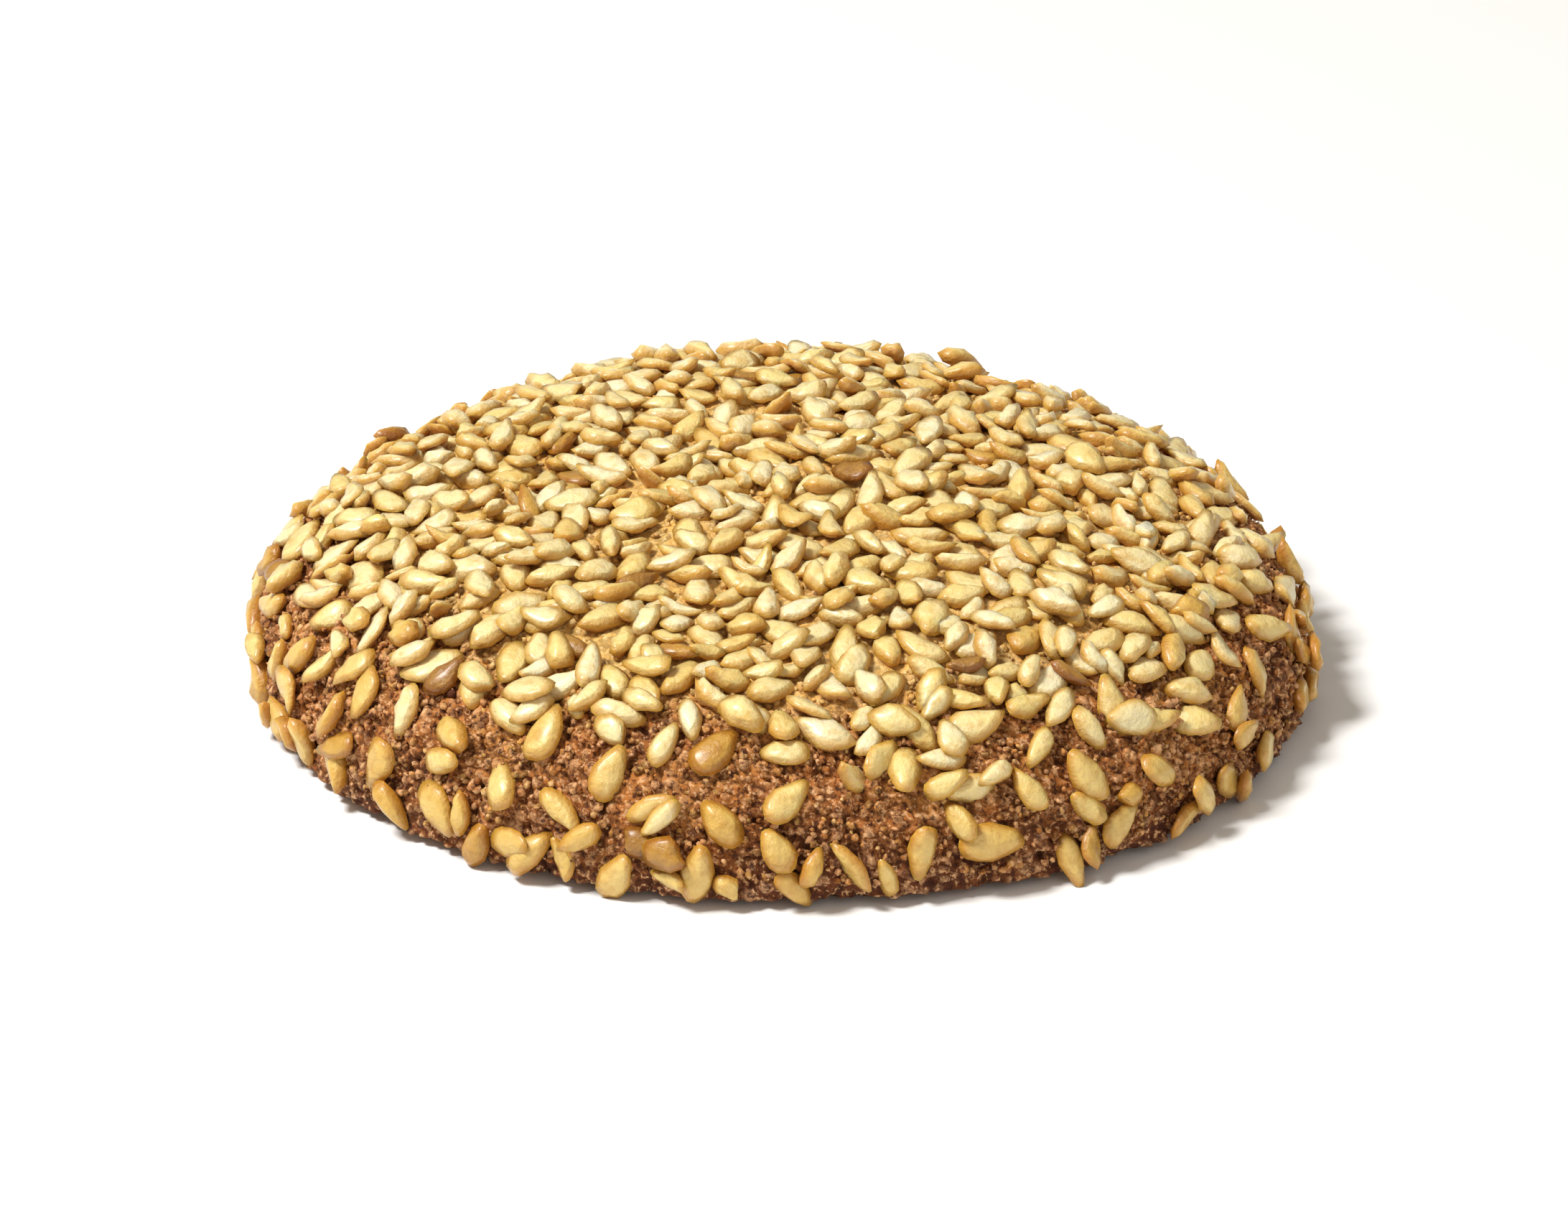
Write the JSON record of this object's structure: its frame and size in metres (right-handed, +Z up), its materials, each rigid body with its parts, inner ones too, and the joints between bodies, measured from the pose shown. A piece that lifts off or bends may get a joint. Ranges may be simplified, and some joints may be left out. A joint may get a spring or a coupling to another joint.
{
  "type": "sesame biscuit",
  "caption": "Round barazek biscuit: a low domed dough disc with a flat underside, sesame seeds over its dome and rim, pistachio slivers below.",
  "frame": {"origin": "centre of the round biscuit, at the level of the surface it lies on", "axes": "+Z up through the biscuit's thickness, from the flat underside to the seeded dome; -Y is the side of the rim that faces the camera"},
  "size_m": [0.0658, 0.065, 0.0138],
  "materials": {
    "sesame_crust": "matte"
  },
  "bodies": {
    "root": {"barazek": "sesame_crust"}
  },
  "joints": []
}
